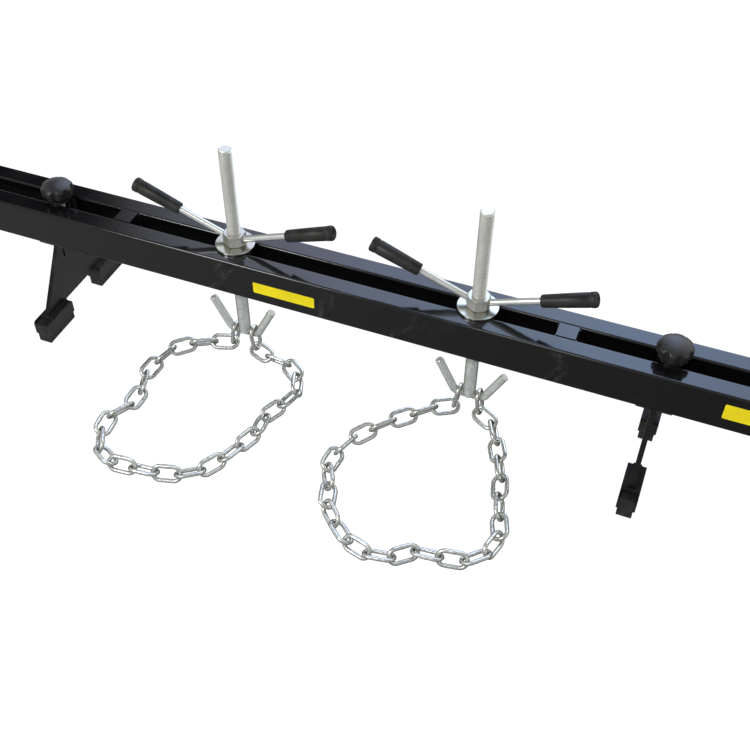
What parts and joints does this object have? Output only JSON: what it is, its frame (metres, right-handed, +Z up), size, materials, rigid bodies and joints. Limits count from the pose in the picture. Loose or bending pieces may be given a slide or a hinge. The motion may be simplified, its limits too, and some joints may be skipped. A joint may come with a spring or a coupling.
{
  "type": "engine support bar",
  "caption": "Twin-rail beam on two clamped sliding legs with rubber feet; lifting screws with hand nuts slide in its slot, each with a bar hook and a loop of chain.",
  "frame": {"origin": "mid-span, in the middle of the slot, level with the rails top faces", "axes": "+X along the beam to the right in the picture, +Y away from the side where the chains lie, +Z up out of the slot"},
  "size_m": [1.506, 0.3491, 0.3074],
  "materials": {
    "black_paint": "glossy black coating",
    "leg_paint": "satin black coating",
    "zinc": "bright zinc plating",
    "thread_zinc": "zinc plating on a rolled thread",
    "chain_zinc": "zinc-plated welded chain",
    "knob_plastic": "satin moulded",
    "grip_plastic": "dipped vinyl",
    "cap_plastic": "moulded plug",
    "rubber": "matt",
    "brass": "turned"
  },
  "bodies": {
    "beam": {"front_rail": "black_paint", "rear_rail": "black_paint", "left_spacer": "black_paint", "right_spacer": "black_paint", "left_end_spacer": "black_paint", "right_end_spacer": "black_paint", "left_end_caps": "cap_plastic", "right_end_caps": "cap_plastic"},
    "left_leg": {"left_saddle": "leg_paint", "left_leg_plate": "leg_paint", "left_stud": "zinc", "left_knob_washer": "leg_paint", "left_front_shoe": "leg_paint", "left_rear_shoe": "leg_paint", "left_front_pad": "rubber", "left_rear_pad": "rubber"},
    "left_clamp_knob": {"left_knob": "knob_plastic", "left_knob_bush": "brass"},
    "left_carriage": {"left_washer": "zinc"},
    "left_lifting_nut": {"left_nut": "zinc", "left_handle_bars": "zinc", "left_grips": "grip_plastic"},
    "left_lifting_screw": {"left_screw": "thread_zinc", "left_hook": "zinc"},
    "left_hanging_links": {"left_chain_ends": "chain_zinc"},
    "left_chain": {"left_chain_loop": "chain_zinc"},
    "right_leg": {"right_saddle": "leg_paint", "right_leg_plate": "leg_paint", "right_stud": "zinc", "right_knob_washer": "leg_paint", "right_front_shoe": "leg_paint", "right_rear_shoe": "leg_paint", "right_front_pad": "rubber", "right_rear_pad": "rubber"},
    "right_clamp_knob": {"right_knob": "knob_plastic", "right_knob_bush": "brass"},
    "right_carriage": {"right_washer": "zinc"},
    "right_lifting_nut": {"right_nut": "zinc", "right_handle_bars": "zinc", "right_grips": "grip_plastic"},
    "right_lifting_screw": {"right_screw": "thread_zinc", "right_hook": "zinc"},
    "right_hanging_links": {"right_chain_ends": "chain_zinc"},
    "right_chain": {"right_chain_loop": "chain_zinc"}
  },
  "joints": [
    {"name": "left_leg_slide", "type": "slide", "parent": "beam", "child": "left_leg", "axis": [1, 0, 0], "range_m": [-0.32, 0.03]},
    {"name": "left_knob_spin", "type": "hinge", "parent": "left_leg", "child": "left_clamp_knob", "pos_m": [-0.376, 0, 0.015], "axis": [0, 0, 1], "continuous": true},
    {"name": "left_carriage_slide", "type": "slide", "parent": "beam", "child": "left_carriage", "axis": [1, 0, 0], "range_m": [-0.06, 0.02]},
    {"name": "left_nut_spin", "type": "hinge", "parent": "left_carriage", "child": "left_lifting_nut", "pos_m": [-0.1285, 0, 0.01], "axis": [0, 0, 1], "range_deg": [-14400, 19800]},
    {"name": "left_screw_lift", "type": "slide", "parent": "left_carriage", "child": "left_lifting_screw", "axis": [0, 0, 1], "range_m": [-0.11, 0.08]},
    {"name": "left_links_swing", "type": "hinge", "parent": "left_lifting_screw", "child": "left_hanging_links", "pos_m": [-0.1285, 0, -0.14065], "axis": [1, 0, 0], "range_deg": [-30, 30]},
    {"name": "left_chain_swing", "type": "hinge", "parent": "left_hanging_links", "child": "left_chain", "pos_m": [-0.1285, 0, -0.15736], "axis": [1, 0, 0], "range_deg": [0, 70]},
    {"name": "right_leg_slide", "type": "slide", "parent": "beam", "child": "right_leg", "axis": [1, 0, 0], "range_m": [-0.03, 0.31]},
    {"name": "right_knob_spin", "type": "hinge", "parent": "right_leg", "child": "right_clamp_knob", "pos_m": [0.395, 0, 0.015], "axis": [0, 0, 1], "continuous": true},
    {"name": "right_carriage_slide", "type": "slide", "parent": "beam", "child": "right_carriage", "axis": [1, 0, 0], "range_m": [-0.02, 0.03]},
    {"name": "right_nut_spin", "type": "hinge", "parent": "right_carriage", "child": "right_lifting_nut", "pos_m": [0.1762, 0, 0.01], "axis": [0, 0, 1], "range_deg": [-14400, 19800]},
    {"name": "right_screw_lift", "type": "slide", "parent": "right_carriage", "child": "right_lifting_screw", "axis": [0, 0, 1], "range_m": [-0.11, 0.08]},
    {"name": "right_links_swing", "type": "hinge", "parent": "right_lifting_screw", "child": "right_hanging_links", "pos_m": [0.1762, 0, -0.14065], "axis": [1, 0, 0], "range_deg": [-30, 30]},
    {"name": "right_chain_swing", "type": "hinge", "parent": "right_hanging_links", "child": "right_chain", "pos_m": [0.1762, 0, -0.15736], "axis": [1, 0, 0], "range_deg": [0, 70]}
  ],
  "couplings": [
    {"joint": "left_screw_lift", "follows": "left_nut_spin", "m_per_rad": -0.00031831},
    {"joint": "right_screw_lift", "follows": "right_nut_spin", "m_per_rad": -0.00031831}
  ]
}
